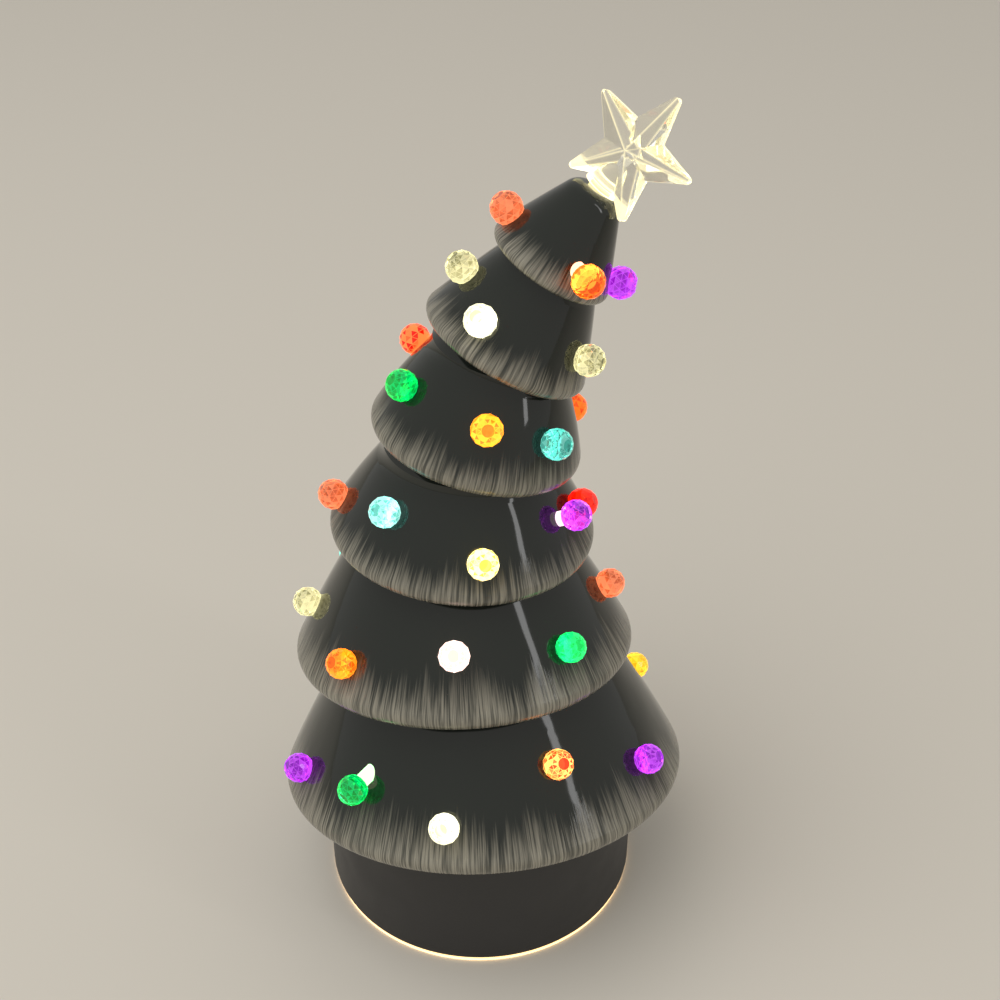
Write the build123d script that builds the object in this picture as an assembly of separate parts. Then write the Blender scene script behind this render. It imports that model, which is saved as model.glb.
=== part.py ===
from build123d import *

import math
import os
from dataclasses import dataclass

# Lengths are in millimetres and angles in degrees.
# Z is up from the table, X is the way the top of the tree leans and -Y is the front.

# Base drum, with room round the battery box inside it
BASE_ROOM = 7.27
BASE_WALL = 5.0
BASE_FOOT_ROUND = 2.0
LEDGE_HEIGHT = 12.0
LEDGE_WIDTH = 3.0
LEDGE_THICKNESS = 3.0

# Tree, lowest tier first: each rim, and the step from its centre to the next rim's or to the crown
TIER_RADII = [69.5, 57.0, 43.0, 33.7, 27.0, 19.3]
TIER_LEANS = [-2.5, -2.0, 4.0, 14.0, 29.0, 31.0]
TIER_BACKS = [12.5, 10.5, 0.5, 3.0, 5.5, 1.5]
TIER_RISES = [49.7, 46.1, 33.8, 34.3, 31.0, 27.6]
SPINE_LEANS = [-7.4, -0.6, 7.0, 14.7, 26.1]
SPINE_BACKS = [8.1, 3.7, 0.0, 0.0, 0.0]
LIP_RADII = [4.5, 4.5, 4.0, 4.5, 3.5, 2.5]
SLOPE_RADII = [330.0, 490.0, 235.0, 130.0, 490.0, 490.0]
RIM_OVERHANGS = [11.0, 8.0, 7.0, 6.0, 3.0]
FIRST_RIM_X = 1.5
FIRST_RIM_Y = -5.0
FIRST_RIM_Z = 46.2
NECK_FILLET = 9.0
NECK_ROOT = 8.0
NECK_BORE_ROOT = 12.0
NECK_ROOT_SHARE = 0.7
CROWN_RADIUS = 4.5
CROWN_ROUND = 5.0
TREE_WALL = 3.5
MOUTH_RADIUS = 42.0

# Bulbs
BULB_RADIUS = 5.0
BULB_FLAT = 3.1
BULB_TABLE_LATITUDE = 66.0
BULB_SIDES = 12
BULB_BANDS = 5
PEG_RADIUS = 2.4
PEG_LENGTH = 8.0
PROUD_LENGTH = 4.5

# Each row is a bulb: colour, azimuth about the tier's axis and share of its rise.
# A loose bulb also has its share of the proud length and the angle by which it droops.
BULB_SHARES = [
    [
        ("purple", -156, 0.32),
        ("green", -127, 0.52, 1, 42),
        ("white", -99, 0.32),
        ("red", -64, 0.60),
        ("purple", -31, 0.38),
        ("yellow", 31, 0.36),
        ("teal", 60, 0.54),
        ("coral", 88, 0.36),
        ("green", 117, 0.54),
        ("orange", 146, 0.40),
    ],
    [
        ("white", -174, 0.43),
        ("orange", -133, 0.33),
        ("pink", -91, 0.49),
        ("green", -48, 0.40),
        ("coral", -6, 0.51),
        ("purple", 50, 0.40),
        ("yellow", 94, 0.54),
        ("teal", 140, 0.40),
    ],
    [
        ("coral", -177, 0.34),
        ("teal", -133, 0.64),
        ("yellow", -81, 0.42),
        ("purple", -30, 0.56, 0.67, 0),
        ("red", -13, 0.52),
        ("white", 70, 0.42),
        ("green", 126, 0.58),
    ],
    [
        ("red", 148, 0.66),
        ("green", -154, 0.59),
        ("orange", -92, 0.59),
        ("teal", -48, 0.50),
        ("orange", 30, 0.30),
        ("purple", 90, 0.50),
    ],
    [
        ("white", -172, 0.58),
        ("white", -125, 0.39),
        ("white", -38, 0.45),
        ("red", 44, 0.50),
        ("teal", 100, 0.40),
    ],
    [
        ("coral", 180, 0.30),
        ("orange", -76, 0.33, 1, 15),
        ("purple", -14, 0.26),
        ("green", 84, 0.36),
    ],
]

# Star
STAR_POINTS = 5
STAR_RADIUS = 21.5
STAR_NOTCH_RADIUS = 9.3
STAR_EDGE_THICKNESS = 2.0
STAR_THICKNESS = 11.0
STAR_TIP_ROUND = 1.2
STAR_RISE = 14.5
STAR_LEAN = 38.5
STAR_TWIST = 38.0
FLANGE_RADIUS = 5.5
FLANGE_THICKNESS = 1.5
STEM_RADIUS = 4.7
STEM_TOP_RADIUS = 3.0
STEM_SINK = 4.0
STAR_PEG_RADIUS = 3.5
STAR_PEG_LENGTH = 12.0

# Light tray that closes the base
TRAY_FLOOR = 2.0
TRAY_RECESS = 1.5
TRAY_RIM = 2.0
STANDING_RING = 7.5
TRAY_FOOT_INSET = 0.8
TRAY_FOOT_THICKNESS = 0.7
GASKET_THICKNESS = 1.0
GASKET_WIDTH = 2.5

# Battery box, its cells and contacts
CELL_RADIUS = 7.25
CELL_LENGTH = 50.5
CELL_COUNT = 3
CELL_PITCH = 15.0
NUB_RADIUS = 2.75
NUB_LENGTH = 1.5
BOX_WALL = 2.0
CONTACT_THICKNESS = 0.5
CONTACT_WIDTH = 10.0
CONTACT_HEIGHT = 12.0
SPRING_LENGTH = 6.0
SPRING_RADIUS = 3.5
SPRING_WIRE = 0.4
SPRING_TURNS = 4
EAR_RADIUS = 4.0
EAR_HEIGHT = 9.0
EAR_SPACING = 50.0
SCREW_RADIUS = 1.25
SCREW_LENGTH = 8.0
SCREW_HEAD_RADIUS = 2.5
SCREW_HEAD_HEIGHT = 1.0
SCREW_SLOT_WIDTH = 0.8
SCREW_SLOT_LENGTH = 3.4
SCREW_SLOT_DEPTH = 0.5

# Battery door
DOOR_THICKNESS = 2.0
TAB_LENGTH = 1.6
TAB_WIDTH = 4.0
TAB_THICKNESS = 1.2
TAB_SPACING = 15.0
TONGUE_LENGTH = 5.0
TONGUE_WIDTH = 12.0
GRIP_RIB_WIDTH = 0.8
GRIP_RIB_HEIGHT = 0.6
GRIP_RIB_COUNT = 3
GRIP_RIB_PITCH = 1.6

# Switch
SWITCH_LENGTH = 14.0
SWITCH_WIDTH = 8.0
SWITCH_HEIGHT = 7.0
SWITCH_GAP = 6.5
KNOB_LENGTH = 4.0
KNOB_WIDTH = 3.0
KNOB_DROP = 0.8
KNOB_TRAVEL = 4.0
KNOB_HEAD_MARGIN = 1.0
KNOB_HEAD_THICKNESS = 1.5

# Lamp
BOARD_RADIUS = 21.0
BOARD_THICKNESS = 1.6
BOARD_LED_COUNT = 8
BOARD_LED_MARGIN = 5.5
LED_RADIUS = 2.5
LED_HEIGHT = 5.0
POST_SIZE = 9.0
POST_WALL = 1.5
POST_HEIGHT = 146.0
POST_FLANGE_SIZE = 16.0
POST_FLANGE_THICKNESS = 2.0
STRIP_WIDTH = 6.0
STRIP_THICKNESS = 0.4
STRIP_MARGIN = 8.0
CHIP_SIZE = 5.0
CHIP_THICKNESS = 1.6
CHIPS_ON_STRIP = 5
LEAD_RADIUS = 0.7
LEAD_BEND = 3.0
LEAD_SPACING = 5.0
LEAD_RISE = 3.0

# Clearances
MOVING_GAP = 0.3
PEG_GAP = 0.25
BULB_GAP = 0.05
SCREW_GAP = 0.05
CELL_GAP = 0.05

# Heights and radii that follow from the sizes above
BASE_LIFT = TRAY_FOOT_THICKNESS + MOVING_GAP
GASKET_TOP = LEDGE_HEIGHT - MOVING_GAP
TRAY_TOP = GASKET_TOP - GASKET_THICKNESS
FLOOR_TOP = TRAY_RECESS + TRAY_FLOOR
BOX_INNER_LENGTH = CELL_LENGTH + SPRING_LENGTH + 2 * CONTACT_THICKNESS
BOX_INNER_WIDTH = CELL_COUNT * CELL_PITCH
BOX_LENGTH = BOX_INNER_LENGTH + 2 * BOX_WALL
BOX_WIDTH = BOX_INNER_WIDTH + 2 * BOX_WALL
CELL_Z = FLOOR_TOP + MOVING_GAP + CELL_RADIUS
BOX_CEILING = CELL_Z + CELL_RADIUS + CELL_GAP
BOX_TOP = BOX_CEILING + BOX_WALL
EAR_Y = BOX_WIDTH / 2 + EAR_RADIUS / 2
SWITCH_Y = -(BOX_WIDTH / 2 + SWITCH_GAP + SWITCH_WIDTH / 2)
EAR_REACH = math.hypot(EAR_SPACING / 2, EAR_Y) + EAR_RADIUS
BOX_REACH = max(math.hypot(BOX_LENGTH, BOX_WIDTH) / 2, EAR_REACH)
TRAY_RADIUS = BOX_REACH + BASE_ROOM + TRAY_RIM
BASE_BORE = TRAY_RADIUS + MOVING_GAP
BASE_RADIUS = BASE_BORE + BASE_WALL
TRAY_FOOT_RADIUS = BASE_RADIUS - TRAY_FOOT_INSET
BOARD_TOP = BOX_TOP + BOARD_THICKNESS
POST_TOP = BOARD_TOP + POST_HEIGHT


def turned(points):
    """Solid of revolution about Z from a closed outline of (radius, height) points."""
    return revolve(Plane.XZ * make_face(Polyline(*points, close=True)), Axis.Z)


def ring(inner, outer, low, high):
    return turned([(inner, low), (outer, low), (outer, high), (inner, high)])


def block(length, width, low, high, x=0.0, y=0.0):
    """Upright block centred on x, y, from one height to another."""
    middle = (low + high) / 2
    return Pos(x, y, middle) * Box(length, width, high - low)


def post(radius, low, high, x=0.0, y=0.0):
    """Upright round pin centred on x, y, from one height to another."""
    middle = (low + high) / 2
    return Pos(x, y, middle) * Cylinder(radius, high - low)


def arc(centre, start, end):
    """Shorter arc about a centre between two points."""
    radius = (start - centre).length
    toward = ((start - centre) + (end - centre)).normalized()
    return ThreePointArc(start, centre + toward * radius, end)


def polyhedron(faces):
    """Solid from flat faces, each a list of corner points."""
    return Solid(Shell([Face(Wire.make_polygon(corners)) for corners in faces]))


def leaning_plane(origin, lean, back=0.0):
    """Plane whose normal leans from Z toward X and then back toward Y."""
    side, rear = math.radians(lean), math.radians(back)
    across = Vector(math.cos(side), 0, -math.sin(side))
    up = Vector(math.sin(side), 0, math.cos(side))
    return Plane(origin, x_dir=across, z_dir=up * math.cos(rear) + Vector(0, 1, 0) * math.sin(rear))


@dataclass
class Tier:
    """One tier: a lip, a bulged slope, and a neck fillet or, on the top tier, a round crown."""

    plane: Plane
    rise: float
    top_radius: float
    lip_centre: Vector
    top_centre: Vector
    top_end: Vector
    slope_centre: Vector
    slope_radius: float
    is_crown: bool

    def toward(self, point, radius):
        """Point on the slope's circle, or one parallel to it, in line with another point."""
        return self.slope_centre + (point - self.slope_centre).normalized() * radius

    def slope_reach(self, height, radius):
        """How far out a circle about the slope's centre is at a height."""
        drop = height - self.slope_centre.Y
        return self.slope_centre.X + math.sqrt(radius**2 - drop**2)

    def bulb_plane(self, azimuth, rise_share, lift, droop):
        """Plane on the slope, or lifted off it, with its normal out of the surface or drooping down it."""
        height = rise_share * self.rise
        reach = self.slope_reach(height, self.slope_radius)
        out = (Vector(reach, height) - self.slope_centre).normalized()
        angle, tip = math.radians(azimuth), math.radians(droop)
        aside = Vector(math.cos(angle), math.sin(angle), 0)
        seat = aside * reach + Vector(0, 0, height)
        normal = aside * out.X + Vector(0, 0, out.Y)
        down = aside * out.Y - Vector(0, 0, out.X)
        axis = normal * math.cos(tip) + down * math.sin(tip)
        on_slope = Plane(seat + axis * lift, z_dir=axis)
        return Plane(self.plane.location * on_slope.location)


def slope_centre_between(lip_centre, lip_reach, top_centre, top_reach):
    """Centre of the slope's circle, from its distances to the lip's centre and to the neck's or crown's."""
    gap = top_centre - lip_centre
    along = (lip_reach**2 - top_reach**2 + gap.length**2) / (2 * gap.length)
    aside = math.sqrt(lip_reach**2 - along**2)
    unit = gap.normalized()
    return lip_centre + unit * along + Vector(-unit.Y, unit.X) * aside


def make_tiers():
    tiers = []
    centre = Vector(FIRST_RIM_X, FIRST_RIM_Y, FIRST_RIM_Z)
    for index, rim in enumerate(TIER_RADII):
        rise, lip, slope = TIER_RISES[index], LIP_RADII[index], SLOPE_RADII[index]
        is_crown = index == len(TIER_RADII) - 1
        lip_centre = Vector(rim - lip, lip)
        if is_crown:
            top_radius = CROWN_RADIUS
            top_centre = Vector(CROWN_RADIUS, rise - CROWN_ROUND)
            top_end = Vector(CROWN_RADIUS, rise)
            top_reach = slope - CROWN_ROUND
        else:
            top_radius = TIER_RADII[index + 1] - RIM_OVERHANGS[index]
            top_centre = Vector(top_radius + NECK_FILLET, rise)
            top_end = Vector(top_radius, rise)
            top_reach = slope + NECK_FILLET
        slope_centre = slope_centre_between(lip_centre, slope - lip, top_centre, top_reach)
        plane = leaning_plane(centre, TIER_LEANS[index], TIER_BACKS[index])
        tiers.append(
            Tier(plane, rise, top_radius, lip_centre, top_centre, top_end, slope_centre, slope, is_crown)
        )
        if not is_crown:
            centre += leaning_plane((0, 0, 0), SPINE_LEANS[index], SPINE_BACKS[index]).z_dir * rise
    return tiers


def tier_outside(tier):
    lip_start = Vector(tier.lip_centre.X, 0)
    slope_start = tier.toward(tier.lip_centre, tier.slope_radius)
    slope_end = tier.toward(tier.top_centre, tier.slope_radius)
    edges = [
        Line((0, 0), lip_start),
        arc(tier.lip_centre, lip_start, slope_start),
        arc(tier.slope_centre, slope_start, slope_end),
        arc(tier.top_centre, slope_end, tier.top_end),
    ]
    if tier.is_crown:
        edges.append(Polyline(tier.top_end, (0, tier.rise), (0, 0)))
    else:
        root = (tier.top_radius * NECK_ROOT_SHARE, tier.rise + NECK_ROOT)
        edges.append(Polyline(tier.top_end, root, (0, tier.rise + NECK_ROOT), (0, 0)))
    return tier.plane * revolve(Plane.YZ * make_face(edges), Axis.Z)


def tier_hollow(tier):
    inner_slope = tier.slope_radius - TREE_WALL
    floor_end = Vector(tier.slope_reach(TREE_WALL, inner_slope), TREE_WALL)
    slope_end = tier.toward(tier.top_centre, inner_slope)
    edges = [
        Line((0, TREE_WALL), floor_end),
        arc(tier.slope_centre, floor_end, slope_end),
    ]
    if tier.is_crown:
        top_end = tier.top_end - Vector(0, TREE_WALL)
        edges.append(arc(tier.top_centre, slope_end, top_end))
        edges.append(Polyline(top_end, (0, top_end.Y), (0, TREE_WALL)))
    else:
        top_end = tier.top_end - Vector(TREE_WALL, 0)
        root = (top_end.X * NECK_ROOT_SHARE, tier.rise + NECK_BORE_ROOT)
        edges.append(arc(tier.top_centre, slope_end, top_end))
        edges.append(Polyline(top_end, root, (0, root[1]), (0, TREE_WALL)))
    return tier.plane * revolve(Plane.YZ * make_face(edges), Axis.Z)


def crown_point(tiers):
    """Middle of the flat on top of the tree."""
    return tiers[-1].plane.from_local_coords(Vector(0, 0, tiers[-1].rise))


def star_plane(tiers):
    """Plane of the star's hole: its normal is the stem and its X runs along the star's face."""
    stem = leaning_plane((0, 0, 0), STAR_LEAN)
    twist = math.radians(STAR_TWIST)
    along = stem.x_dir * math.cos(twist) - stem.y_dir * math.sin(twist)
    return Plane(crown_point(tiers), x_dir=along, z_dir=stem.z_dir)


def bulb_places(tiers):
    """Colour, hole's plane and seat's plane of each bulb."""
    for tier, bulbs in zip(tiers, BULB_SHARES):
        for colour, azimuth, rise_share, *loose in bulbs:
            proud_share, droop = loose or (0, 0)
            lift = BULB_GAP + proud_share * PROUD_LENGTH
            hole = tier.bulb_plane(azimuth, rise_share, 0, droop)
            yield colour, hole, tier.bulb_plane(azimuth, rise_share, lift, droop)


def bulb_holes(tiers):
    hole = post(PEG_RADIUS + PEG_GAP, -PEG_LENGTH, TREE_WALL)
    return [place * hole for _, place, _ in bulb_places(tiers)]


def make_tree(tiers):
    outside = tier_outside(tiers[0]).fuse(*[tier_outside(tier) for tier in tiers[1:]])
    hollow = tier_hollow(tiers[0]).fuse(*[tier_hollow(tier) for tier in tiers[1:]])
    mouth = post(MOUTH_RADIUS, 0, FIRST_RIM_Z + TIER_RISES[0] / 2)
    star_hole = star_plane(tiers) * Cylinder(STAR_PEG_RADIUS + PEG_GAP, 2 * STAR_PEG_LENGTH)
    return outside.cut(hollow).cut(mouth, *bulb_holes(tiers), star_hole)


def make_base(tiers):
    """Drum whose slanted top meets the flat underside of the lowest tier."""
    high = FIRST_RIM_Z + BASE_RADIUS
    wall = ring(BASE_BORE, BASE_RADIUS, BASE_LIFT, high)
    foot = wall.edges().filter_by(GeomType.CIRCLE).group_by(Axis.Z)[0].sort_by(SortBy.RADIUS)[-1]
    ledge = ring(BASE_BORE - LEDGE_WIDTH, BASE_BORE, LEDGE_HEIGHT, LEDGE_HEIGHT + LEDGE_THICKNESS)
    above = tiers[0].plane * post(2 * BASE_RADIUS, 0, 2 * high)
    return fillet(foot, BASE_FOOT_ROUND) + ledge - above


def make_bulb():
    """Faceted ball with a flat base and a peg, its base on the XY plane."""
    base_latitude = -math.degrees(math.asin(BULB_FLAT / BULB_RADIUS))
    rings = []
    for band in range(BULB_BANDS + 1):
        latitude = math.radians(base_latitude + (BULB_TABLE_LATITUDE - base_latitude) * band / BULB_BANDS)
        turn = band % 2 / 2
        corners = []
        for side in range(BULB_SIDES):
            angle = 2 * math.pi * (side + turn) / BULB_SIDES
            reach = BULB_RADIUS * math.cos(latitude)
            height = BULB_FLAT + BULB_RADIUS * math.sin(latitude)
            corners.append((reach * math.cos(angle), reach * math.sin(angle), height))
        rings.append(corners)
    faces = [rings[0], rings[-1]]
    for band in range(BULB_BANDS):
        low, high = rings[band], rings[band + 1]
        for side in range(BULB_SIDES):
            after = (side + 1) % BULB_SIDES
            above = (side + band % 2) % BULB_SIDES
            above_after = (above + 1) % BULB_SIDES
            faces.append([low[side], low[after], high[above]])
            faces.append([low[after], high[above], high[above_after]])
    return polyhedron(faces) + post(PEG_RADIUS, -PEG_LENGTH, BULB_FLAT)


def make_bulbs(tiers):
    """Bulbs grouped by colour."""
    bulb = make_bulb()
    groups = {}
    for colour, _, seat in bulb_places(tiers):
        groups.setdefault(colour, []).append(seat * bulb)
    return {f"bulbs_{colour}": Compound(children=group) for colour, group in groups.items()}


def make_star(tiers):
    corners = []
    for step in range(2 * STAR_POINTS):
        reach = STAR_NOTCH_RADIUS if step % 2 else STAR_RADIUS
        angle = math.pi / 2 + math.pi * step / STAR_POINTS
        corners.append((reach * math.cos(angle), reach * math.sin(angle)))
    faces = []
    for step, corner in enumerate(corners):
        after = corners[(step + 1) % len(corners)]
        edge = STAR_EDGE_THICKNESS / 2
        apex = STAR_THICKNESS / 2
        for side in (-1, 1):
            faces.append([(0, 0, side * apex), (*corner, side * edge), (*after, side * edge)])
        faces.append([(*corner, -edge), (*after, -edge), (*after, edge), (*corner, edge)])
    outline = make_face(Polyline(*corners, close=True))
    tip_limit = (STAR_RADIUS + STAR_NOTCH_RADIUS) / 2
    tips = [vertex for vertex in outline.vertices() if vertex.center().length > tip_limit]
    rounded = extrude(fillet(tips, STAR_TIP_ROUND), STAR_THICKNESS, both=True)
    star = Pos(0, 0, STAR_RISE) * Rot(90, 0, 0) * (polyhedron(faces) & rounded)
    flange_low = FLANGE_RADIUS * math.sin(math.radians(abs(STAR_LEAN - TIER_LEANS[-1]))) + MOVING_GAP
    flange_high = flange_low + FLANGE_THICKNESS
    stem = turned(
        [
            (0, -STAR_PEG_LENGTH),
            (STAR_PEG_RADIUS, -STAR_PEG_LENGTH),
            (STAR_PEG_RADIUS, flange_low),
            (FLANGE_RADIUS, flange_low),
            (FLANGE_RADIUS, flange_high),
            (STEM_RADIUS, flange_high),
            (STEM_TOP_RADIUS, STAR_RISE - STEM_SINK),
            (0, STAR_RISE - STEM_SINK),
        ]
    )
    return star_plane(tiers) * (star + stem)


def screw_places():
    return [(sx * EAR_SPACING / 2, sy * EAR_Y) for sx in (-1, 1) for sy in (-1, 1)]


def door_outline(margin):
    """Door seen from below, grown by a margin on every side."""
    plate = Rectangle(BOX_INNER_LENGTH + 2 * margin, BOX_INNER_WIDTH + 2 * margin)
    tongue = Pos(BOX_INNER_LENGTH / 2, 0) * Rectangle(2 * (TONGUE_LENGTH + margin), TONGUE_WIDTH + 2 * margin)
    return plate + tongue


def make_tray():
    tray = turned(
        [
            (0, TRAY_RECESS),
            (TRAY_RADIUS - STANDING_RING, TRAY_RECESS),
            (TRAY_RADIUS - STANDING_RING, 0),
            (TRAY_FOOT_RADIUS, 0),
            (TRAY_FOOT_RADIUS, TRAY_FOOT_THICKNESS),
            (TRAY_RADIUS, TRAY_FOOT_THICKNESS),
            (TRAY_RADIUS, TRAY_TOP),
            (TRAY_RADIUS - TRAY_RIM, TRAY_TOP),
            (TRAY_RADIUS - TRAY_RIM, FLOOR_TOP),
            (0, FLOOR_TOP),
        ]
    )
    opening = extrude(door_outline(0), FLOOR_TOP + TRAY_FLOOR)
    slot_length = KNOB_LENGTH + KNOB_TRAVEL + 2 * MOVING_GAP
    slot = block(slot_length, KNOB_WIDTH + 2 * MOVING_GAP, 0, FLOOR_TOP + TRAY_FLOOR, y=SWITCH_Y)
    holes = [post(SCREW_RADIUS + SCREW_GAP, 0, FLOOR_TOP + TRAY_FLOOR, x, y) for x, y in screw_places()]
    return tray.cut(opening, slot, *holes)


def make_box():
    shell = block(BOX_LENGTH, BOX_WIDTH, FLOOR_TOP, BOX_TOP)
    ears = [post(EAR_RADIUS, FLOOR_TOP, FLOOR_TOP + EAR_HEIGHT, x, y) for x, y in screw_places()]
    inside = block(BOX_INNER_LENGTH, BOX_INNER_WIDTH, FLOOR_TOP, BOX_CEILING)
    hole_top = FLOOR_TOP + SCREW_LENGTH
    holes = [post(SCREW_RADIUS + SCREW_GAP, FLOOR_TOP, hole_top, x, y) for x, y in screw_places()]
    notch_top = FLOOR_TOP + 2 * MOVING_GAP + TAB_THICKNESS + TAB_LENGTH
    notch_width = TAB_WIDTH + 2 * MOVING_GAP
    wall_x = -(BOX_LENGTH - BOX_WALL) / 2
    notches = [
        block(2 * BOX_WALL, notch_width, FLOOR_TOP, notch_top, wall_x, y)
        for y in (-TAB_SPACING / 2, TAB_SPACING / 2)
    ]
    return shell.fuse(*ears).cut(inside, *holes, *notches)


def make_screws():
    head_low = TRAY_RECESS - SCREW_HEAD_HEIGHT
    screw = post(SCREW_HEAD_RADIUS, head_low, TRAY_RECESS)
    screw += post(SCREW_RADIUS, TRAY_RECESS, FLOOR_TOP + SCREW_LENGTH - MOVING_GAP)
    for turn in (0, 90):
        slot = block(SCREW_SLOT_LENGTH, SCREW_SLOT_WIDTH, head_low, head_low + SCREW_SLOT_DEPTH)
        screw -= Rot(0, 0, turn) * slot
    return Compound(children=[Pos(x, y, 0) * screw for x, y in screw_places()])


def cell_rows():
    """Y place of each cell and the way its nub points."""
    middle = (CELL_COUNT - 1) / 2
    return [((index - middle) * CELL_PITCH, 1 if index % 2 else -1) for index in range(CELL_COUNT)]


def along_x(radius, start, end, y):
    """Pin along X at the height of the cells."""
    return Pos((start + end) / 2, y, CELL_Z) * Rot(0, 90, 0) * Cylinder(radius, abs(end - start))


def make_cell(y, way):
    nub_end = way * (BOX_INNER_LENGTH / 2 - CONTACT_THICKNESS)
    case_end = nub_end - way * NUB_LENGTH
    case = along_x(CELL_RADIUS, case_end, nub_end - way * CELL_LENGTH, y)
    return case + along_x(NUB_RADIUS, case_end, nub_end, y)


def make_contacts():
    reach = (BOX_INNER_LENGTH - CONTACT_THICKNESS) / 2
    half = CONTACT_HEIGHT / 2
    return Compound(
        children=[
            block(CONTACT_THICKNESS, CONTACT_WIDTH, CELL_Z - half, CELL_Z + half, side * reach, y)
            for y, _ in cell_rows()
            for side in (-1, 1)
        ]
    )


def make_springs():
    pitch = (SPRING_LENGTH - 2 * SPRING_WIRE) / SPRING_TURNS
    coil = Helix(pitch, SPRING_TURNS * pitch, SPRING_RADIUS)
    section = Plane(coil @ 0, z_dir=coil % 0) * Circle(SPRING_WIRE)
    spring = sweep(section, coil, is_frenet=True)
    springs = []
    for y, way in cell_rows():
        start = -way * (BOX_INNER_LENGTH / 2 - CONTACT_THICKNESS - SPRING_WIRE)
        springs.append(Pos(start, y, CELL_Z) * Rot(0, way * 90, 0) * spring)
    return Compound(children=springs)


def make_door():
    plate = Pos(0, 0, TRAY_RECESS) * extrude(door_outline(-MOVING_GAP), DOOR_THICKNESS)
    edge = -BOX_INNER_LENGTH / 2 + MOVING_GAP
    tab_low = FLOOR_TOP + MOVING_GAP
    for y in (-TAB_SPACING / 2, TAB_SPACING / 2):
        plate += block(2 * TAB_LENGTH, TAB_WIDTH, tab_low, tab_low + TAB_THICKNESS, edge, y)
        plate += block(TAB_LENGTH, TAB_WIDTH, TRAY_RECESS, tab_low + TAB_THICKNESS, edge + TAB_LENGTH / 2, y)
    for rib in range(GRIP_RIB_COUNT):
        x = BOX_INNER_LENGTH / 2 + TONGUE_LENGTH - (rib + 1) * GRIP_RIB_PITCH
        plate += block(GRIP_RIB_WIDTH, TONGUE_WIDTH / 2, TRAY_RECESS - GRIP_RIB_HEIGHT, TRAY_RECESS, x)
    return plate


def make_switch():
    body = block(SWITCH_LENGTH, SWITCH_WIDTH, FLOOR_TOP, FLOOR_TOP + SWITCH_HEIGHT, y=SWITCH_Y)
    length = KNOB_LENGTH + 2 * KNOB_HEAD_MARGIN + KNOB_TRAVEL + 2 * MOVING_GAP
    width = KNOB_WIDTH + 2 * KNOB_HEAD_MARGIN + 2 * MOVING_GAP
    height = KNOB_HEAD_THICKNESS + 2 * MOVING_GAP
    return body - block(length, width, FLOOR_TOP, FLOOR_TOP + height, y=SWITCH_Y)


def make_knob():
    x = -KNOB_TRAVEL / 2
    head_low = FLOOR_TOP + MOVING_GAP
    stem = block(KNOB_LENGTH, KNOB_WIDTH, TRAY_RECESS - KNOB_DROP, head_low, x, SWITCH_Y)
    length = KNOB_LENGTH + 2 * KNOB_HEAD_MARGIN
    width = KNOB_WIDTH + 2 * KNOB_HEAD_MARGIN
    return stem + block(length, width, head_low, head_low + KNOB_HEAD_THICKNESS, x, SWITCH_Y)


def make_leads():
    """Two leads from the switch up and across to the lamp board."""
    low, high = FLOOR_TOP + SWITCH_HEIGHT, BOARD_TOP + LEAD_RISE
    end_y = -BOARD_RADIUS + 2 * LEAD_BEND
    leads = []
    for x in (-LEAD_SPACING / 2, LEAD_SPACING / 2):
        path = FilletPolyline(
            (x, SWITCH_Y, low),
            (x, SWITCH_Y, high),
            (x, end_y, high),
            (x, end_y, BOARD_TOP),
            radius=LEAD_BEND / 2,
        )
        leads.append(sweep(Plane((x, SWITCH_Y, low)) * Circle(LEAD_RADIUS), path))
    return Compound(children=leads)


def make_led():
    """Round LED standing on the XY plane."""
    dome_base = LED_HEIGHT - LED_RADIUS
    return post(LED_RADIUS, 0, dome_base) + Pos(0, 0, dome_base) * Sphere(LED_RADIUS)


def make_board_leds():
    led = make_led()
    reach = BOARD_RADIUS - BOARD_LED_MARGIN
    places = PolarLocations(reach, BOARD_LED_COUNT, start_angle=180 / BOARD_LED_COUNT)
    return Compound(children=[Pos(0, 0, BOARD_TOP) * place * led for place in places])


def make_lamp_post():
    tube = block(POST_SIZE, POST_SIZE, BOARD_TOP, POST_TOP)
    tube += block(POST_FLANGE_SIZE, POST_FLANGE_SIZE, BOARD_TOP, BOARD_TOP + POST_FLANGE_THICKNESS)
    bore = POST_SIZE - 2 * POST_WALL
    return tube - block(bore, bore, BOARD_TOP, POST_TOP - POST_WALL)


def on_post_faces(piece):
    """Copies of a piece on the post's four faces."""
    return [Rot(0, 0, turn) * piece for turn in (0, 90, 180, 270)]


def make_strips():
    low = BOARD_TOP + POST_FLANGE_THICKNESS
    strip = block(STRIP_THICKNESS, STRIP_WIDTH, low, POST_TOP, (POST_SIZE + STRIP_THICKNESS) / 2)
    return Compound(children=on_post_faces(strip))


def make_chips():
    low = BOARD_TOP + STRIP_MARGIN
    pitch = (POST_TOP - low - STRIP_MARGIN) / (CHIPS_ON_STRIP - 1)
    x = POST_SIZE / 2 + STRIP_THICKNESS + CHIP_THICKNESS / 2
    chips = []
    for row in range(CHIPS_ON_STRIP):
        chips += on_post_faces(Pos(x, 0, low + row * pitch) * Box(CHIP_THICKNESS, CHIP_SIZE, CHIP_SIZE))
    return Compound(children=chips)


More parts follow.
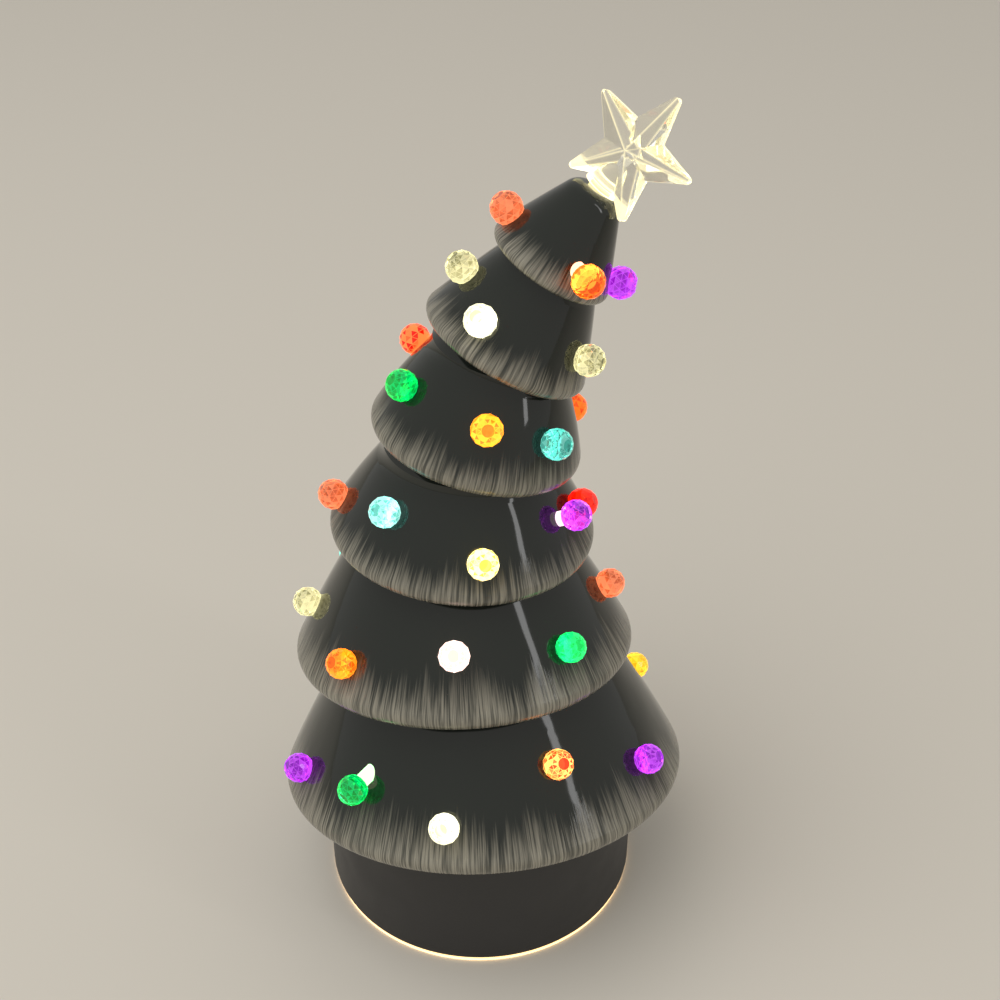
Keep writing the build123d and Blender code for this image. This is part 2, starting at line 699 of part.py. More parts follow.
def make_nodes():
    tiers = make_tiers()
    nodes = {
        "tree_body": make_tree(tiers),
        "base_drum": make_base(tiers),
        "star_topper": make_star(tiers),
        "light_tray": make_tray(),
        "tray_gasket": ring(TRAY_RADIUS - GASKET_WIDTH, TRAY_RADIUS, TRAY_TOP, GASKET_TOP),
        "battery_box": make_box(),
        "box_screws": make_screws(),
        "battery_contacts": make_contacts(),
        "contact_springs": make_springs(),
        "battery_door": make_door(),
        "switch_body": make_switch(),
        "switch_knob": make_knob(),
        "switch_leads": make_leads(),
        "lamp_board": post(BOARD_RADIUS, BOX_TOP, BOARD_TOP),
        "board_leds": make_board_leds(),
        "lamp_post": make_lamp_post(),
        "led_strips": make_strips(),
        "strip_leds": make_chips(),
        "top_led": Pos(0, 0, POST_TOP) * make_led(),
    }
    for index, (y, way) in enumerate(cell_rows()):
        nodes[f"cell_{index + 1}"] = make_cell(y, way)
    nodes.update(make_bulbs(tiers))
    return nodes


os.makedirs("parts", exist_ok=True)
for name, shape in make_nodes().items():
    export_step(shape, f"parts/{name}.step")
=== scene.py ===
import math
import random

import bmesh
import bpy
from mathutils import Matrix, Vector
from mathutils.bvhtree import BVHTree


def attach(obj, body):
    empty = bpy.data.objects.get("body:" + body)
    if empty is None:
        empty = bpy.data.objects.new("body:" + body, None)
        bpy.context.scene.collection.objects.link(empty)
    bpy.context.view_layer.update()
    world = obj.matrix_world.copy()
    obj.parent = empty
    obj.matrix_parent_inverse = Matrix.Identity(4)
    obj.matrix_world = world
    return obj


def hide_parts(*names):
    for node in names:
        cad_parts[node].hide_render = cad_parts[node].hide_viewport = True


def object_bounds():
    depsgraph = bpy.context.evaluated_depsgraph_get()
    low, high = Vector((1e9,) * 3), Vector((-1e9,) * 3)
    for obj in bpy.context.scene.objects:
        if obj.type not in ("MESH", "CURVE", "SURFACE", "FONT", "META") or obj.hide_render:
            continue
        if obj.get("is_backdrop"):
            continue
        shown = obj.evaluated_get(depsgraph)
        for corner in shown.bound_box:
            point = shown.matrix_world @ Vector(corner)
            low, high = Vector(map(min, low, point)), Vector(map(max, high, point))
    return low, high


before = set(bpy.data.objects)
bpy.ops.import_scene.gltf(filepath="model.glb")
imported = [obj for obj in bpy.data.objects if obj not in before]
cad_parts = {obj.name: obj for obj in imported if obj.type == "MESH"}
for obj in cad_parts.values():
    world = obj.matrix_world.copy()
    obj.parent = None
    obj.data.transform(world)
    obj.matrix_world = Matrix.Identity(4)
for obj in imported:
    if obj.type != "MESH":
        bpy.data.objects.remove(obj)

# Lengths are in metres, angles in degrees, and colours are linear.

# Camera
EYE = (0.0072, -0.3976, 0.4248)
PITCH_DOWN = 34.0
LENS_MM = 54.0
SENSOR_MM = 36.0

# Tiers of the tree, lowest first, with the sizes that its solid has
TIER_RADII = [0.0695, 0.057, 0.043, 0.0337, 0.027, 0.0193]
TIER_LEANS = [-2.5, -2.0, 4.0, 14.0, 29.0, 31.0]
TIER_BACKS = [12.5, 10.5, 0.5, 3.0, 5.5, 1.5]
TIER_RISES = [0.0497, 0.0461, 0.0338, 0.0343, 0.031, 0.0276]
SPINE_LEANS = [-7.4, -0.6, 7.0, 14.7, 26.1]
SPINE_BACKS = [8.1, 3.7, 0.0, 0.0, 0.0]
FIRST_RIM = (0.0015, -0.005, 0.0462)
TIER_OVERLAP = 0.0008  # a tier takes points down to this far below its rim

# Noise: how many finer layers it has, and the values that most of it lies between
SMOOTH_DETAIL = 0.0
PLAIN_DETAIL = 2.0
FINE_DETAIL = 3.0
NOISE_SPAN = (0.3, 0.7)

# Glaze of the tree
GLAZE_COLOUR = (0.010, 0.013, 0.010)
GLAZE_ROUGHNESS = 0.06
GLAZE_IOR = 1.52
GLAZE_RIPPLE = 0.014
GLAZE_RELIEF = 0.0002

# Dry-brushed edge of each tier.  A reach is how far up a stroke goes, as a share of the tier's rise.
BRUSH_COLOUR = (0.29, 0.27, 0.215)
BRUSH_ROUGHNESS = 0.30
BRUSH_RELIEF = 0.15
BRISTLE_WIDTH = 0.0005
CLUMP_WIDTH = 0.0018
WAVE_WIDTH = 0.014
STREAK_STRETCH = 0.04  # noise along a stroke runs at this share of its pace across
BRISTLE_REACH = 0.34
CLUMP_REACH = 0.30
WAVE_REACH = 0.44
REACH_CUT = 0.16
FADE_SPAN = (1.0, 0.15)  # shares of its reach where a stroke is gone and still full
CLUMPS_IN_LINES = 0.3
LINE_SPAN = (0.36, 0.60)
FAINTEST_LINE = 0.25
UNDERSIDE = 0.0012  # height over which the paint comes in above the rim

# Satin glaze of the base
BASE_DARK = (0.014, 0.014, 0.014)
BASE_LIGHT = (0.027, 0.026, 0.026)
BASE_CLOUD = 0.02
BASE_GRAIN = 0.0008
BASE_RELIEF = 0.00004
BASE_ROUGHNESS = (0.40, 0.52)

# Bulbs.  A height on a bulb is 1 at its top, and 1 less for each ball radius below that.
BULB_RADIUS = 0.005
BULB_HEIGHT = 0.00767  # from the seat on the glaze to the top
BULB_SEED = 7
BULB_ROUGHNESS = 0.05
PLASTIC_IOR = 1.49
FACET_EDGE = 0.00008
FACET_SPAN = (0.2, 0.8)
TOP_FACET = 0.97
BALL_BOTTOM = -0.5
SEAT_SPAN = (-0.36, -0.53)
SEAT_GLOW = 0.8
BARE_PEG_SPAN = (-0.54, -0.62)
PEG_END_SPAN = (-1.95, -2.10)
PEG_END_DEPTH = 0.0015  # corners this near a peg's tip belong to its end
PEG_SPECKLE = 0.0011
PEG_SPECKLE_SPAN = (0.40, 0.60)
PEG_SPECKLE_LEAST = 0.3
PEG_LIGHT = (0.92, 0.85, 0.62)
GLOW_STRENGTH = 1.25
LOOSE_GAP = 0.003  # a seat farther than this from the glaze stands out
PAINTED_HEAT_RISE = 35.0  # how steeply up a bulb points when its painted glow is hottest
COOL_FACING = 0.70  # share of a bulb's axis along that way, below which its painted glow stays cool
HOT_FACING = 0.92  # and above which its painted glow is hottest
MERGE_DISTANCE = 1e-6
FLAT_ANGLE = 0.573  # faces that turn less than this are one facet
VERTEX_LAYERS = ("axial", "loose", "painted_heat")
FACE_LAYERS = ("facet", "glowing_edge")

# Colours of each bulb: plastic, dim facet, bright facet and hottest facet
BULB_COLOURS = {
    "purple": ((0.30, 0.015, 0.55), (0.07, 0.0, 0.14), (0.30, 0.05, 0.42), (0.74, 0.40, 0.86)),
    "green": ((0.0003, 0.50, 0.05), (0.0, 0.10, 0.02), (0.0, 0.32, 0.085), (0.02, 0.62, 0.22)),
    "white": ((0.62, 0.58, 0.32), (0.05, 0.05, 0.02), (0.34, 0.32, 0.19), (0.66, 0.65, 0.54)),
    "red": ((0.70, 0.002, 0.0005), (0.18, 0.0, 0.0), (0.50, 0.02, 0.004), (0.90, 0.90, 0.20)),
    "yellow": ((0.70, 0.40, 0.02), (0.20, 0.09, 0.0), (0.55, 0.36, 0.02), (0.90, 0.88, 0.60)),
    "teal": ((0.05, 0.40, 0.32), (0.01, 0.08, 0.07), (0.10, 0.28, 0.24), (0.50, 0.76, 0.72)),
    "coral": ((0.66, 0.10, 0.03), (0.14, 0.035, 0.012), (0.42, 0.15, 0.07), (0.80, 0.50, 0.30)),
    "orange": ((0.66, 0.035, 0.0005), (0.20, 0.03, 0.0), (0.52, 0.13, 0.004), (0.85, 0.58, 0.03)),
    "pink": ((0.80, 0.42, 0.37), (0.30, 0.14, 0.12), (0.50, 0.34, 0.30), (0.74, 0.68, 0.62)),
}

# Star
STAR_COLOUR = (0.93, 0.91, 0.83)
STAR_LIGHT = (1.0, 0.88, 0.45)
STAR_GLOW = 0.9
STAR_ROUGHNESS = 0.04
STAR_CLEARNESS = 0.92
STAR_LEAN = 38.5
STAR_TWIST = 38.0
STAR_POINTS = 5
STAR_CENTRE_RISE = 0.0145
FLANGE_TOP = 0.0029
FLANGE_GLOW = 0.5
RIDGE_WIDTH = 0.0005
RIDGE_GLOW = 0.45
RIM_FACING = (0.45, 0.2)  # part of a normal through the star, where its rim starts and is full
RIM_GLOW = 0.8
UNLIT = (0.0, 0.0, 0.0)

# Milky plastic of the light tray and its door, which glows at the tray's edge
MILKY_DARK = (0.80, 0.75, 0.64)
MILKY_LIGHT = (0.88, 0.83, 0.72)
MILKY_CLOUD = 0.01
MILKY_ROUGHNESS = 0.5
TRAY_GLOW_DEEP = (1.0, 0.60, 0.22)
TRAY_GLOW_PALE = (1.0, 0.66, 0.28)
TRAY_EDGE_SPAN = (0.048, 0.0535)
TRAY_GLOW_SPAN = (0.1, 2.0)

# Moulded plastics: dark, light, roughness, and the nodes made of each
MOULDED_CLOUD = 0.008
MOULDED_GRAIN = 0.0004
MOULDED_RELIEF = 0.00003
MOULDED_PLASTICS = {
    "gasket_foam": ((0.07, 0.07, 0.07), (0.12, 0.12, 0.12), 0.9, ["tray_gasket"]),
    "box_plastic": ((0.74, 0.74, 0.72), (0.82, 0.82, 0.80), 0.45, ["battery_box"]),
    "cell_jacket": ((0.08, 0.09, 0.10), (0.12, 0.13, 0.14), 0.25, ["cell_1", "cell_2", "cell_3"]),
    "switch_black": ((0.02, 0.02, 0.02), (0.04, 0.04, 0.04), 0.4, ["switch_body", "switch_knob"]),
    "lead_sleeve": ((0.30, 0.02, 0.02), (0.40, 0.04, 0.03), 0.4, ["switch_leads"]),
    "board_white": ((0.76, 0.76, 0.74), (0.84, 0.84, 0.82), 0.4, ["lamp_board", "led_strips"]),
}

# Metals: dark, light, least roughness, and the nodes made of each
SCRATCH_WIDTH = 0.0003
SCRATCH_STRETCH = (1, 1, 0.1)
SCRATCH_ROUGHNESS = 0.12
METALS = {
    "steel": (
        (0.50, 0.50, 0.49), (0.68, 0.68, 0.67), 0.22, ["box_screws", "battery_contacts", "contact_springs"],
    ),
    "post_aluminium": ((0.66, 0.66, 0.66), (0.80, 0.80, 0.80), 0.3, ["lamp_post"]),
}

# Lenses of the LEDs
LENS_COLOUR = (0.95, 0.90, 0.75)
LENS_ROUGHNESS = 0.1
LENS_CLOUD = 0.002
LENS_GLOW_DEEP = (1.0, 0.70, 0.34)
LENS_GLOW_PALE = (1.0, 0.84, 0.56)
LENS_GLOW_STRENGTH = 6.0

# Stage
FLOOR_SIZE = 8.0
FLOOR_COLOUR = (0.64, 0.60, 0.53)
FLOOR_ROUGHNESS = 0.55
WORLD_COLOUR = (0.80, 0.78, 0.74)
WORLD_STRENGTH = 0.70
SOFTBOX_SIZE = (2.2, 2.2)
SOFTBOX_PLACE = (-0.9, -0.6, 1.7)
SOFTBOX_WATTS = 20.0
STRIP_SIZE = (0.10, 0.80)
STRIP_PLACE = (0.88, -0.53, 0.75)
STRIP_WATTS = 0.9

# Places of a Mix node's result, first and second sockets, for each kind of value
MIX_SOCKETS = {"FLOAT": (0, 2, 3), "VECTOR": (1, 4, 5), "RGBA": (2, 6, 7)}

CAD_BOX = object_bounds()


class Surface:
    """One node material, built socket by socket."""

    def __init__(self, name):
        self.material = bpy.data.materials.new(name)
        self.material.use_nodes = True
        self.tree = self.material.node_tree
        self.shader = self.tree.nodes["Principled BSDF"]

    def put(self, socket, value):
        """Links a socket to another one, or gives it a constant."""
        if isinstance(value, bpy.types.NodeSocket):
            self.tree.links.new(value, socket)
        elif socket.type == "RGBA":
            socket.default_value = (*value, 1)
        else:
            socket.default_value = value

    def add(self, kind, output, inputs, **settings):
        """Adds a node and gives one of its outputs."""
        node = self.tree.nodes.new(kind)
        for name, value in settings.items():
            setattr(node, name, value)
        for name, value in inputs.items():
            self.put(node.inputs[name], value)
        return node.outputs[output]

    def finish(self, inputs):
        """Fills the shader's own sockets and gives the material."""
        for name, value in inputs.items():
            self.put(self.shader.inputs[name], value)
        return self.material

    def place(self):
        return self.add("ShaderNodeTexCoord", "Object", {})

    def normal(self):
        return self.add("ShaderNodeTexCoord", "Normal", {})

    def attribute(self, name):
        return self.add("ShaderNodeAttribute", "Fac", {}, attribute_name=name)

    def math(self, operation, a, b=0.0):
        return self.add("ShaderNodeMath", 0, {0: a, 1: b}, operation=operation)

    def times(self, a, b):
        return self.math("MULTIPLY", a, b)

    def vector(self, operation, a, b=(0, 0, 0)):
        return self.add("ShaderNodeVectorMath", "Vector", {0: a, 1: b}, operation=operation)

    def dot(self, a, b):
        return self.add("ShaderNodeVectorMath", "Value", {0: a, 1: b}, operation="DOT_PRODUCT")

    def scaled(self, vector, scale):
        return self.add("ShaderNodeVectorMath", "Vector", {0: vector, "Scale": scale}, operation="SCALE")

    def joined(self, x, y, z):
        return self.add("ShaderNodeCombineXYZ", "Vector", {"X": x, "Y": y, "Z": z})

    def noise(self, vector, feature, detail=PLAIN_DETAIL):
        """Noise whose features are about as wide as the length given."""
        inputs = {"Vector": vector, "Scale": 1 / feature, "Detail": detail}
        return self.add("ShaderNodeTexNoise", "Fac", inputs)

    def ramp(self, value, span, result=(0.0, 1.0)):
        """Smooth step from one result to the other as the value crosses the span."""
        inputs = {
            "Value": value,
            "From Min": span[0],
            "From Max": span[1],
            "To Min": result[0],
            "To Max": result[1],
        }
        return self.add("ShaderNodeMapRange", "Result", inputs, interpolation_type="SMOOTHSTEP")

    def mix(self, factor, a, b, kind="RGBA"):
        """Goes from a to b as the factor goes from 0 to 1."""
        result, first, second = MIX_SOCKETS[kind]
        return self.add("ShaderNodeMix", result, {0: factor, first: a, second: b}, data_type=kind)

    def bump(self, height, distance):
        return self.add("ShaderNodeBump", "Normal", {"Height": height, "Distance": distance})


def leaning_axes(lean, back=0.0):
    """X, Y and Z axes of a plane that leans toward X and then back toward Y."""
    side, rear = math.radians(lean), math.radians(back)
    across = Vector((math.cos(side), 0, -math.sin(side)))
    up = Vector((math.sin(side), 0, math.cos(side)))
    axis = up * math.cos(rear) + Vector((0, 1, 0)) * math.sin(rear)
    return across, axis.cross(across), axis


def tier_frames():
    """Centre of the rim and axes of each tier."""
    frames = []
    centre = Vector(FIRST_RIM)
    for index, rise in enumerate(TIER_RISES):
        frames.append((centre.copy(), *leaning_axes(TIER_LEANS[index], TIER_BACKS[index])))
        if index < len(SPINE_LEANS):
            centre += leaning_axes(SPINE_LEANS[index], SPINE_BACKS[index])[2] * rise
    return frames


def tier_coordinates(surface):
    """Height above the rim, share of the rise and place round the rim, in the tier that holds a point."""
    place = surface.place()
    height = share = around = None
    for radius, rise, (centre, across, rear, axis) in zip(TIER_RADII, TIER_RISES, tier_frames()):
        offset = surface.vector("SUBTRACT", place, centre)
        here = surface.dot(offset, axis)
        x = surface.dot(offset, across)
        y = surface.dot(offset, rear)
        outward = surface.vector("NORMALIZE", surface.joined(x, y, 0.0))
        stretched = surface.joined(0.0, 0.0, surface.times(here, STREAK_STRETCH))
        rim_point = surface.vector("ADD", surface.scaled(outward, radius), stretched)
        here_share = surface.math("DIVIDE", here, rise)
        if height is None:
            height, share, around = here, here_share, rim_point
        else:
            inside = surface.math("GREATER_THAN", here, -TIER_OVERLAP)
            height = surface.mix(inside, height, here, "FLOAT")
            share = surface.mix(inside, share, here_share, "FLOAT")
            around = surface.mix(inside, around, rim_point, "VECTOR")
    return height, share, around


def brush_strokes(surface):
    """How well the dry brush covers each point, in bristle lines of uneven length."""
    height, share, around = tier_coordinates(surface)
    wave = surface.noise(around, WAVE_WIDTH)
    clumps = surface.noise(around, CLUMP_WIDTH)
    bristles = surface.noise(around, BRISTLE_WIDTH, FINE_DETAIL)
    uneven = surface.math("ADD", surface.times(wave, WAVE_REACH), surface.times(clumps, CLUMP_REACH))
    cut = surface.math("SUBTRACT", uneven, REACH_CUT)
    reach = surface.math("ADD", surface.times(bristles, BRISTLE_REACH), cut)
    fade = surface.ramp(surface.math("DIVIDE", share, reach), FADE_SPAN)
    streaks = surface.mix(CLUMPS_IN_LINES, bristles, clumps, "FLOAT")
    lines = surface.ramp(streaks, LINE_SPAN, (FAINTEST_LINE, 1.0))
    cover = surface.times(lines, surface.ramp(height, (0.0, UNDERSIDE)))
    return surface.times(cover, fade)


def tree_glaze():
    """Glossy dark glaze whose tier edges are dry-brushed."""
    surface = Surface("tree_glaze")
    brushed = brush_strokes(surface)
    ripple = surface.noise(surface.place(), GLAZE_RIPPLE, SMOOTH_DETAIL)
    relief = surface.math("ADD", ripple, surface.times(brushed, BRUSH_RELIEF))
    return surface.finish({
        "Base Color": surface.mix(brushed, GLAZE_COLOUR, BRUSH_COLOUR),
        "Roughness": surface.mix(brushed, GLAZE_ROUGHNESS, BRUSH_ROUGHNESS, "FLOAT"),
        "Normal": surface.bump(relief, GLAZE_RELIEF),
        "IOR": GLAZE_IOR,
    })


def base_glaze():
    """Satin dark glaze with faint clouds and a fine grain."""
    surface = Surface("base_glaze")
    place = surface.place()
    cloud = surface.noise(place, BASE_CLOUD, FINE_DETAIL)
    grain = surface.noise(place, BASE_GRAIN, FINE_DETAIL)
    return surface.finish({
        "Base Color": surface.mix(cloud, BASE_DARK, BASE_LIGHT),
        "Roughness": surface.ramp(cloud, NOISE_SPAN, BASE_ROUGHNESS),
        "Normal": surface.bump(grain, BASE_RELIEF),
    })


def ball_glow(surface, axial, dim, bright, hot):
    """Colour that a ball shines in: facets of uneven glow, with a brighter glow painted along the facet
    edges and at the seat, as painted highlights.
    """
    painted_heat = surface.attribute("painted_heat")
    chance = surface.ramp(surface.attribute("facet"), FACET_SPAN)
    cool_facets = surface.mix(chance, dim, bright)
    hot_facets = surface.mix(chance, bright, hot)
    # painted heat: bulbs that point up to the front or back get hotter facets and edges
    facets = surface.mix(painted_heat, cool_facets, hot_facets)
    edge = surface.mix(painted_heat, bright, hot)
    seat = surface.ramp(axial, SEAT_SPAN, (0.0, SEAT_GLOW))
    return surface.mix(surface.math("MAXIMUM", surface.attribute("glowing_edge"), seat), facets, edge)


def peg_glow(surface, axial):
    """Where lamp light shows on a peg: at its end, and all along it if the bulb stands out of its hole."""
    bare_peg = surface.times(surface.attribute("loose"), surface.ramp(axial, BARE_PEG_SPAN))
    grains = surface.noise(surface.place(), PEG_SPECKLE)
    speckle = surface.ramp(grains, PEG_SPECKLE_SPAN, (PEG_SPECKLE_LEAST, 1.0))
    peg_end = surface.times(surface.ramp(axial, PEG_END_SPAN), speckle)
    return surface.math("MAXIMUM", bare_peg, peg_end)


def bulb_plastic(name, plastic, dim, bright, hot):
    """Clear coloured plastic, lit from its peg."""
    surface = Surface(name)
    axial = surface.attribute("axial")
    ball = ball_glow(surface, axial, dim, bright, hot)
    return surface.finish({
        "Base Color": plastic,
        "Roughness": BULB_ROUGHNESS,
        "IOR": PLASTIC_IOR,
        "Transmission Weight": 1.0,
        "Emission Color": surface.mix(peg_glow(surface, axial), ball, PEG_LIGHT),
        "Emission Strength": GLOW_STRENGTH,
    })


def star_axes():
    """Foot of the star's stem, the way the stem points, and the ways along and through the star's face."""
    across, rear, stem = leaning_axes(STAR_LEAN)
    twist = math.radians(STAR_TWIST)
    along = across * math.cos(twist) - rear * math.sin(twist)
    centre, _, _, axis = tier_frames()[-1]
    crown = centre + axis * TIER_RISES[-1]
    return crown, stem, along, stem.cross(along)


def star_plastic():
    """Clear plastic that shines at the star's rim, along its ridges and in its flange."""
    surface = Surface("star_clear")
    crown, stem, along, through = star_axes()
    offset = surface.vector("SUBTRACT", surface.place(), crown)
    rise = surface.dot(offset, stem)
    centred = surface.vector("SUBTRACT", offset, stem * STAR_CENTRE_RISE)
    x = surface.dot(centred, along)
    y = surface.dot(centred, stem)
    reach = surface.math("SQRT", surface.math("ADD", surface.times(x, x), surface.times(y, y)))
    folded = surface.math("PINGPONG", surface.math("ARCTAN2", x, y), math.pi / STAR_POINTS)
    ridge = surface.ramp(surface.times(reach, folded), (RIDGE_WIDTH, 0.0))
    facing = surface.math("ABSOLUTE", surface.dot(surface.normal(), through))
    rim = surface.ramp(facing, RIM_FACING)
    flange = surface.ramp(rise, (FLANGE_TOP + RIDGE_WIDTH, FLANGE_TOP))
    bands = surface.math("MAXIMUM", surface.times(rim, RIM_GLOW), surface.times(ridge, RIDGE_GLOW))
    lit = surface.math("MAXIMUM", bands, surface.times(flange, FLANGE_GLOW))
    return surface.finish({
        "Base Color": STAR_COLOUR,
        "Roughness": STAR_ROUGHNESS,
        "IOR": PLASTIC_IOR,
        "Transmission Weight": STAR_CLEARNESS,
        "Emission Color": surface.mix(lit, UNLIT, STAR_LIGHT),
        "Emission Strength": STAR_GLOW,
    })


def milky_plastic():
    """Milky plastic that lets warm light out at the edge of the tray."""
    surface = Surface("milky_plastic")
    place = surface.place()
    cloud = surface.noise(place, MILKY_CLOUD)
    flat = surface.vector("MULTIPLY", place, (1, 1, 0))
    reach = surface.math("SQRT", surface.dot(flat, flat))
    return surface.finish({
        "Base Color": surface.mix(cloud, MILKY_DARK, MILKY_LIGHT),
        "Roughness": MILKY_ROUGHNESS,
        "Emission Color": surface.mix(cloud, TRAY_GLOW_DEEP, TRAY_GLOW_PALE),
        "Emission Strength": surface.ramp(reach, TRAY_EDGE_SPAN, TRAY_GLOW_SPAN),
    })


def moulded_plastic(name, dark, light, roughness):
    """Plastic with a fine moulded grain."""
    surface = Surface(name)
    place = surface.place()
    cloud = surface.noise(place, MOULDED_CLOUD)
    grain = surface.noise(place, MOULDED_GRAIN)
    return surface.finish({
        "Base Color": surface.mix(cloud, dark, light),
        "Roughness": roughness,
        "Normal": surface.bump(grain, MOULDED_RELIEF),
    })


def brushed_metal(name, dark, light, roughness):
    """Metal with fine upright scratches."""
    surface = Surface(name)
    stretched = surface.vector("MULTIPLY", surface.place(), SCRATCH_STRETCH)
    scratches = surface.noise(stretched, SCRATCH_WIDTH, FINE_DETAIL)
    return surface.finish({
        "Base Color": surface.mix(scratches, dark, light),
        "Metallic": 1.0,
        "Roughness": surface.ramp(scratches, NOISE_SPAN, (roughness, roughness + SCRATCH_ROUGHNESS)),
    })


def led_lens():
    """Glowing lens of warm white light."""
    surface = Surface("led_lens")
    cloud = surface.noise(surface.place(), LENS_CLOUD)
    return surface.finish({
        "Base Color": LENS_COLOUR,
        "Roughness": LENS_ROUGHNESS,
        "Emission Color": surface.mix(cloud, LENS_GLOW_DEEP, LENS_GLOW_PALE),
        "Emission Strength": LENS_GLOW_STRENGTH,
    })


def pale_floor():
    """Plain pale paint."""
    surface = Surface("pale_floor")
    return surface.finish({"Base Color": FLOOR_COLOUR, "Roughness": FLOOR_ROUGHNESS})


def island_groups(solid):
    """Vertices of each separate bulb in a group of bulbs."""
    left = set(solid.verts)
    while left:
        group, reached = set(), [left.pop()]
        while reached:
            vertex = reached.pop()
            group.add(vertex)
            for link in vertex.link_edges:
                other = link.other_vert(vertex)
                if other in left:
                    left.remove(other)
                    reached.append(other)
        yield group


def bulb_axis(group):
    """Centre of the end of a bulb's peg, the bulb's outward axis, and how far its top is from there."""
    faces = {face for vertex in group for face in vertex.link_faces}
    area = sum(face.calc_area() for face in faces)
    middle = sum((face.calc_center_median() * face.calc_area() for face in faces), Vector()) / area
    points = [vertex.co for vertex in group]
    tip = max(points, key=lambda point: (point - middle).length)
    rough = (middle - tip).normalized()
    end = [point for point in points if (point - tip).dot(rough) < PEG_END_DEPTH]
    peg = sum(end, Vector()) / len(end)
    axis = (middle - peg).normalized()
    top = max((point - peg).dot(axis) for point in points)
    return peg, axis, top


def measure_bulbs(solid, ceramic):
    """Marks each corner's height on its bulb, whether the bulb stands out of its hole, and its painted
    heat.

    A hot core is painted on a bulb that points up to the front or up to the back, hotter the more it points
    there.
    One that stands out of its hole stays cool.
    """
    rise = math.radians(PAINTED_HEAT_RISE)
    axial, loose, painted_heat = (solid.verts.layers.float[name] for name in VERTEX_LAYERS)
    for group in island_groups(solid):
        peg, axis, top = bulb_axis(group)
        seat = peg + axis * (top - BULB_HEIGHT)
        _, _, _, gap = ceramic.find_nearest(seat)
        stands_out = gap > LOOSE_GAP
        facing = abs(axis.y) * math.cos(rise) + axis.z * math.sin(rise)
        share = (facing - COOL_FACING) / (HOT_FACING - COOL_FACING)
        heat = 0.0 if stands_out else min(1.0, max(0.0, share))
        for vertex in group:
            vertex[axial] = 1 + ((vertex.co - peg).dot(axis) - top) / BULB_RADIUS
            vertex[loose] = float(stands_out)
            vertex[painted_heat] = heat


def mark_facets(solid):
    """Splits an edge off each facet of the balls for a painted highlight of brighter glow, and gives facets
    a chance glow, least at the top.
    """
    axial = solid.verts.layers.float["axial"]
    facet, glowing_edge = (solid.faces.layers.float[name] for name in FACE_LAYERS)
    chance = random.Random(BULB_SEED)
    balls = [face for face in solid.faces if max(vertex[axial] for vertex in face.verts) > BALL_BOTTOM]
    for face in solid.faces:
        face[facet] = chance.random()
        face.smooth = False
        if min(vertex[axial] for vertex in face.verts) > TOP_FACET:
            face[facet] = 0.0
    edges = bmesh.ops.inset_individual(solid, faces=balls, thickness=FACET_EDGE, use_even_offset=True)
    for face in edges["faces"]:
        face[glowing_edge] = 1.0
        face.smooth = False


def facet_bulbs(mesh, ceramic):
    """Joins a group's flat faces into whole facets and marks what glows.

    The bulbs are measured again at the end, for the corners that the facets' edges add.
    """
    solid = bmesh.new()
    solid.from_mesh(mesh)
    bmesh.ops.remove_doubles(solid, verts=solid.verts, dist=MERGE_DISTANCE)
    flat = math.radians(FLAT_ANGLE)
    bmesh.ops.dissolve_limit(solid, angle_limit=flat, verts=solid.verts, edges=solid.edges)
    for name in VERTEX_LAYERS:
        solid.verts.layers.float.new(name)
    for name in FACE_LAYERS:
        solid.faces.layers.float.new(name)
    measure_bulbs(solid, ceramic)
    mark_facets(solid)
    measure_bulbs(solid, ceramic)
    solid.to_mesh(mesh)
    solid.free()


def lit_bulbs(node, material, ceramic):
    """Copy of a bulb group whose facets, edges and pegs can glow apart."""
    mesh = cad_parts[node].data.copy()
    facet_bulbs(mesh, ceramic)
    mesh.materials.clear()
    mesh.materials.append(material)
    piece = bpy.data.objects.new(f"{node}_lit", mesh)
    bpy.context.scene.collection.objects.link(piece)
    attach(piece, "tree")
    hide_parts(node)


def dress_bulbs():
    """Puts lit copies in place of all the bulbs."""
    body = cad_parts["tree_body"].data
    corners = [vertex.co for vertex in body.vertices]
    ceramic = BVHTree.FromPolygons(corners, [face.vertices for face in body.polygons])
    for colour, shades in BULB_COLOURS.items():
        material = bulb_plastic(f"bulb_{colour}", *shades)
        lit_bulbs(f"bulbs_{colour}", material, ceramic)


def dress(material, *nodes):
    """Gives CAD nodes their material."""
    for node in nodes:
        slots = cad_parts[node].data.materials
        slots.clear()
        slots.append(material)


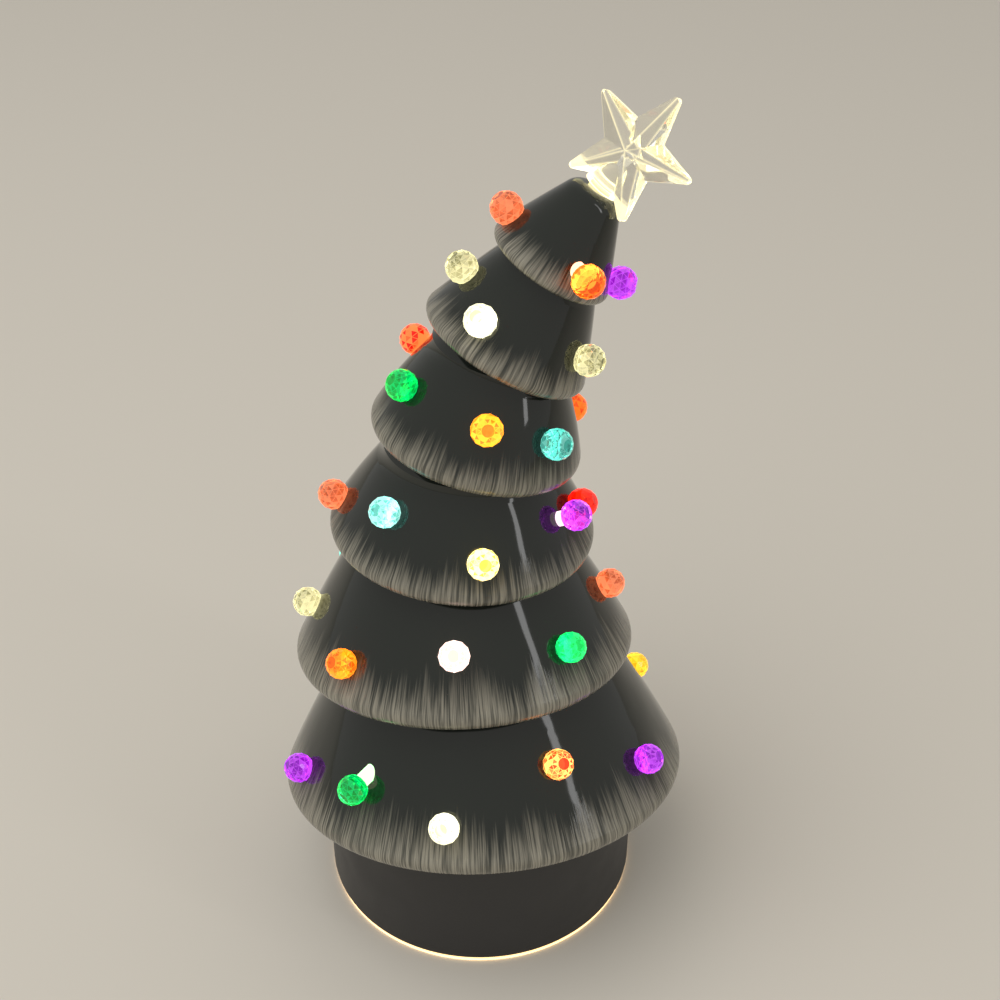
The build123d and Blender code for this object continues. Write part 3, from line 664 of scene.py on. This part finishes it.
def dress_solids():
    """Gives all the CAD nodes apart from the bulbs their materials."""
    dress(tree_glaze(), "tree_body")
    dress(base_glaze(), "base_drum")
    dress(star_plastic(), "star_topper")
    dress(milky_plastic(), "light_tray", "battery_door")
    for slot, (dark, light, roughness, nodes) in MOULDED_PLASTICS.items():
        dress(moulded_plastic(slot, dark, light, roughness), *nodes)
    for slot, (dark, light, roughness, nodes) in METALS.items():
        dress(brushed_metal(slot, dark, light, roughness), *nodes)
    dress(led_lens(), "board_leds", "strip_leds", "top_led")


def make_floor():
    """Pale floor that the tree stands on."""
    bpy.ops.mesh.primitive_plane_add(size=FLOOR_SIZE)
    floor = bpy.context.object
    floor.name = "floor"
    floor.data.materials.append(pale_floor())
    floor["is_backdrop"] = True


def make_world():
    """Soft light from all round."""
    world = bpy.data.worlds.new("soft_room")
    bpy.context.scene.world = world
    world.use_nodes = True
    background = world.node_tree.nodes["Background"]
    background.inputs["Color"].default_value = (*WORLD_COLOUR, 1)
    background.inputs["Strength"].default_value = WORLD_STRENGTH


def add_light(name, shape, size, place, watts):
    """Area light that faces the part."""
    light = bpy.data.lights.new(name, "AREA")
    light.shape = shape
    light.size, light.size_y = size
    light.energy = watts
    lamp = bpy.data.objects.new(name, light)
    lamp.location = place
    lamp.rotation_euler = (-Vector(place)).to_track_quat("-Z", "Y").to_euler()
    bpy.context.scene.collection.objects.link(lamp)
    return lamp


def make_lights():
    """A wide softbox that leaves no reflection, and a narrow strip that shows the glaze's gloss."""
    softbox = add_light("softbox", "ELLIPSE", SOFTBOX_SIZE, SOFTBOX_PLACE, SOFTBOX_WATTS)
    softbox.visible_glossy = False
    add_light("strip", "RECTANGLE", STRIP_SIZE, STRIP_PLACE, STRIP_WATTS)


def make_camera():
    """Camera at the photograph's viewing angle."""
    lens = bpy.data.cameras.new("camera")
    lens.sensor_width = SENSOR_MM
    lens.lens = LENS_MM
    camera = bpy.data.objects.new("camera", lens)
    camera.location = EYE
    camera.rotation_euler = (math.radians(90 - PITCH_DOWN), 0, 0)
    bpy.context.scene.collection.objects.link(camera)
    bpy.context.scene.camera = camera


bpy.context.scene.view_settings.view_transform = "Standard"
dress_solids()
dress_bulbs()
make_floor()
make_world()
make_lights()
make_camera()
boxes = {"cad": CAD_BOX, "visual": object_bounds()}
{name: [list(corner) for corner in box] for name, box in boxes.items()}
